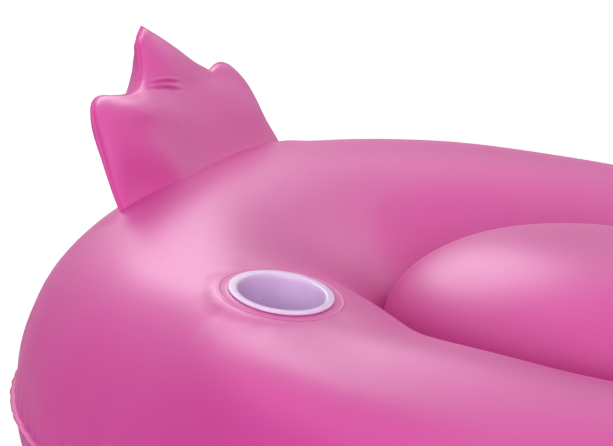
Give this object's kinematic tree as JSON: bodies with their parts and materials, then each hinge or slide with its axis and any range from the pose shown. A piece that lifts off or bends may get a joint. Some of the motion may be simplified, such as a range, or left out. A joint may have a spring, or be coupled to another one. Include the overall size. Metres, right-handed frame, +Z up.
{
  "type": "ride-on pool float",
  "caption": "Inflatable ride-on float: oval ring with a crowned seat, feathered tail, curved neck and head, recessed cup holder, side handles and push-in valves.",
  "frame": {"origin": "middle of the footprint, on the floor that the hull rests on", "axes": "+Z up, -Y towards the head (forward), +Y towards the tail, +X towards the rider's left"},
  "size_m": [0.86, 1.452, 1.115],
  "materials": {
    "pink_vinyl": "satin-gloss inflated vinyl film",
    "tail_pink_vinyl": "satin-gloss inflated vinyl film, slightly warmer pink",
    "lavender_moulding": "moulded pale lavender vinyl",
    "white_vinyl": "satin white vinyl film",
    "black_vinyl": "satin black vinyl film",
    "clear_moulding": "soft frosted clear vinyl moulding",
    "pink_moulding": "soft moulded pink vinyl"
  },
  "bodies": {
    "float": {"hull_top_sheet": "pink_vinyl", "hull_bottom_sheet": "pink_vinyl", "seat_top_sheet": "pink_vinyl", "seat_bottom_sheet": "pink_vinyl", "seat_ring_baffle": "pink_vinyl", "tail_front_sheet": "tail_pink_vinyl", "tail_back_sheet": "tail_pink_vinyl", "neck_head_port_sheet": "pink_vinyl", "neck_head_starboard_sheet": "pink_vinyl", "beak_port_sheet": "white_vinyl", "beak_starboard_sheet": "white_vinyl", "beak_tip_port_sheet": "black_vinyl", "beak_tip_starboard_sheet": "black_vinyl", "cup_holder_cup": "lavender_moulding", "cup_holder_weld_ring": "pink_vinyl", "handle_port_front_pad": "pink_moulding", "handle_port_rear_pad": "pink_moulding", "handle_starboard_front_pad": "pink_moulding", "handle_starboard_rear_pad": "pink_moulding", "hull_valve_collar": "clear_moulding", "seat_valve_collar": "clear_moulding", "neck_valve_collar": "clear_moulding"},
    "port_grip": {"handle_port_grip": "pink_moulding"},
    "starboard_grip": {"handle_starboard_grip": "pink_moulding"},
    "hull_stem": {"hull_valve_stem": "clear_moulding"},
    "hull_flap": {"hull_valve_flap": "clear_moulding"},
    "hull_plug": {"hull_valve_plug": "clear_moulding"},
    "seat_stem": {"seat_valve_stem": "clear_moulding"},
    "seat_flap": {"seat_valve_flap": "clear_moulding"},
    "seat_plug": {"seat_valve_plug": "clear_moulding"},
    "neck_stem": {"neck_valve_stem": "clear_moulding"},
    "neck_flap": {"neck_valve_flap": "clear_moulding"},
    "neck_plug": {"neck_valve_plug": "clear_moulding"}
  },
  "joints": [
    {"name": "port_grip_flex", "type": "hinge", "parent": "float", "child": "port_grip", "pos_m": [0.22767, -0.28334, 0.43294], "axis": [0.3969, 0.9179, 0.0048], "range_deg": [-25, 25], "stiffness_Nm_per_rad": 0.3},
    {"name": "starboard_grip_flex", "type": "hinge", "parent": "float", "child": "starboard_grip", "pos_m": [-0.22767, -0.28334, 0.43294], "axis": [-0.3969, 0.9179, 0.0048], "range_deg": [-25, 25], "stiffness_Nm_per_rad": 0.3},
    {"name": "hull_stem_slide", "type": "slide", "parent": "float", "child": "hull_stem", "axis": [0.9527, -0.0958, 0.2884], "range_m": [0, 0.012]},
    {"name": "hull_flap_swing", "type": "hinge", "parent": "hull_stem", "child": "hull_flap", "pos_m": [0.37578, -0.18784, 0.27749], "axis": [-0.2875, 0.0233, 0.9575], "range_deg": [0, 60], "stiffness_Nm_per_rad": 0.0008},
    {"name": "hull_plug_pull", "type": "slide", "parent": "hull_stem", "child": "hull_plug", "axis": [0.9527, -0.0958, 0.2884], "range_m": [0, 0.014]},
    {"name": "seat_stem_slide", "type": "slide", "parent": "float", "child": "seat_stem", "axis": [0.2332, -0.6666, 0.7081], "range_m": [0, 0.012]},
    {"name": "seat_flap_swing", "type": "hinge", "parent": "seat_stem", "child": "seat_flap", "pos_m": [0.01372, -0.15668, 0.39718], "axis": [-0.2017, 0.6791, 0.7058], "range_deg": [0, 60], "stiffness_Nm_per_rad": 0.0008},
    {"name": "seat_plug_pull", "type": "slide", "parent": "seat_stem", "child": "seat_plug", "axis": [0.2332, -0.6666, 0.7081], "range_m": [0, 0.014]},
    {"name": "neck_stem_slide", "type": "slide", "parent": "float", "child": "neck_stem", "axis": [0.83, 0.5538, 0.0666], "range_m": [0, 0.012]},
    {"name": "neck_flap_swing", "type": "hinge", "parent": "neck_stem", "child": "neck_flap", "pos_m": [0.05927, -0.40123, 0.51152], "axis": [-0.1677, 0.1339, 0.9767], "range_deg": [0, 60], "stiffness_Nm_per_rad": 0.0008},
    {"name": "neck_plug_pull", "type": "slide", "parent": "neck_stem", "child": "neck_plug", "axis": [0.83, 0.5538, 0.0666], "range_m": [0, 0.014]}
  ]
}
